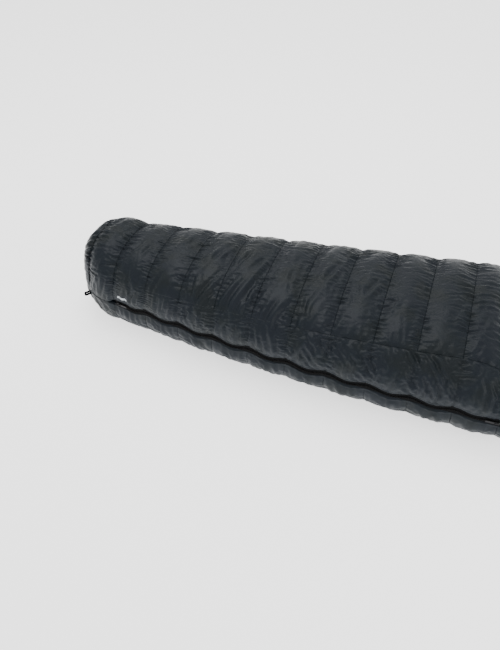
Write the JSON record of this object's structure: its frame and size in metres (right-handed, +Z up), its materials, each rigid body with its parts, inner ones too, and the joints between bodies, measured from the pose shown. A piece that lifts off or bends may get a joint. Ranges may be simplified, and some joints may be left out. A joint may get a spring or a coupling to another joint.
{
  "type": "mummy sleeping bag quilt",
  "caption": "Lofted down mummy bag in crosswise chambers that unzips along one side into a camp quilt, with a drawcord hood.",
  "frame": {"origin": "on the ground under the middle of the bag's box", "axes": "+X from the foot to the hood, -Y the zip side, +Z up from the ground"},
  "size_m": [2.175, 0.7868, 0.3301],
  "materials": {
    "shell_fabric": "thin calendered nylon taffeta with a slight sheen",
    "lining_fabric": "matt nylon lining",
    "webbing": "woven tape",
    "coil_plastic": "moulded nylon coil",
    "zip_metal": "black painted zinc die casting",
    "lock_plastic": "moulded",
    "spring_steel": "drawn wire",
    "cord": "braided elastic",
    "hook_and_loop": "hook and loop pile",
    "label_print": "plain woven label"
  },
  "bodies": {
    "bag_base": {"bottom_chamber_01": "shell_fabric", "bottom_chamber_02": "shell_fabric", "bottom_chamber_03": "shell_fabric", "bottom_chamber_04": "shell_fabric", "bottom_chamber_05": "shell_fabric", "bottom_chamber_06": "shell_fabric", "bottom_chamber_07": "shell_fabric", "bottom_chamber_08": "shell_fabric", "bottom_chamber_09": "shell_fabric", "bottom_chamber_10": "shell_fabric", "bottom_chamber_11": "shell_fabric", "foot_end_chamber": "shell_fabric", "foot_chamber_upper": "shell_fabric", "foot_chamber_lower": "shell_fabric", "hood_base_chamber": "shell_fabric", "hood_cheek_zip": "shell_fabric", "hood_cheek_far": "shell_fabric", "hood_crown_chamber": "shell_fabric", "hood_end_chamber": "shell_fabric", "hood_rim_channel": "shell_fabric", "hood_drawcord": "cord", "hood_lock_barrel": "lock_plastic", "hood_lock_spring": "spring_steel", "liner_lower": "lining_fabric", "zip_tape_lower": "webbing", "zip_coil_lower": "coil_plastic", "zip_head_stop": "zip_metal", "zip_foot_stop": "zip_metal", "guard_loop_patch": "hook_and_loop", "hang_loop_zip_side": "webbing", "hang_loop_far_side": "webbing"},
    "flap": {"top_chamber_01": "shell_fabric", "top_chamber_02": "shell_fabric", "top_chamber_03": "shell_fabric", "top_chamber_04": "shell_fabric", "top_chamber_05": "shell_fabric", "top_chamber_06": "shell_fabric", "top_chamber_07": "shell_fabric", "top_chamber_08": "shell_fabric", "top_chamber_09": "shell_fabric", "top_chamber_10": "shell_fabric", "top_chamber_11": "shell_fabric", "zip_side_chamber": "shell_fabric", "liner_upper": "lining_fabric", "draft_tube": "lining_fabric", "draft_collar": "lining_fabric", "zip_tape_upper": "webbing", "zip_coil_upper": "coil_plastic", "label_patch": "label_print"},
    "guard_tab": {"zip_guard_tab": "webbing", "guard_hook_patch": "hook_and_loop"},
    "head_slider": {"head_slider": "zip_metal"},
    "head_pull": {"head_slider_pull": "zip_metal"},
    "foot_slider": {"foot_slider": "zip_metal"},
    "foot_pull": {"foot_slider_pull": "zip_metal"},
    "lock_plunger": {"hood_lock_plunger": "lock_plastic"}
  },
  "joints": [
    {"name": "flap_open", "type": "hinge", "parent": "bag_base", "child": "flap", "pos_m": [0, 0.394, 0.14], "axis": [-1, 0, 0], "range_deg": [0, 80]},
    {"name": "head_slider_travel", "type": "hinge", "parent": "bag_base", "child": "head_slider", "pos_m": [0.86326, 7.67548, 0.14], "axis": [0, 0, -1], "range_deg": [0, 6.7]},
    {"name": "foot_slider_travel", "type": "hinge", "parent": "bag_base", "child": "foot_slider", "pos_m": [0.86326, 7.67548, 0.14], "axis": [0, 0, 1], "range_deg": [0, 2.8]},
    {"name": "head_pull_swing", "type": "hinge", "parent": "head_slider", "child": "head_pull", "pos_m": [0.56329, -0.38753, 0.14], "axis": [0, 0, 1], "range_deg": [0, 140]},
    {"name": "foot_pull_swing", "type": "hinge", "parent": "foot_slider", "child": "foot_pull", "pos_m": [-0.85779, -0.20763, 0.14], "axis": [0, 0, -1], "range_deg": [0, 150]},
    {"name": "tab_peel", "type": "hinge", "parent": "flap", "child": "guard_tab", "pos_m": [0.61248, -0.38425, 0.176], "axis": [-0.9995, 0.0311, 0], "range_deg": [0, 140]},
    {"name": "lock_press", "type": "slide", "parent": "bag_base", "child": "lock_plunger", "axis": [0, 0, -1], "range_m": [0, 0.004], "stiffness_N_per_m": 400, "deforming": ["hood_lock_spring"]}
  ]
}
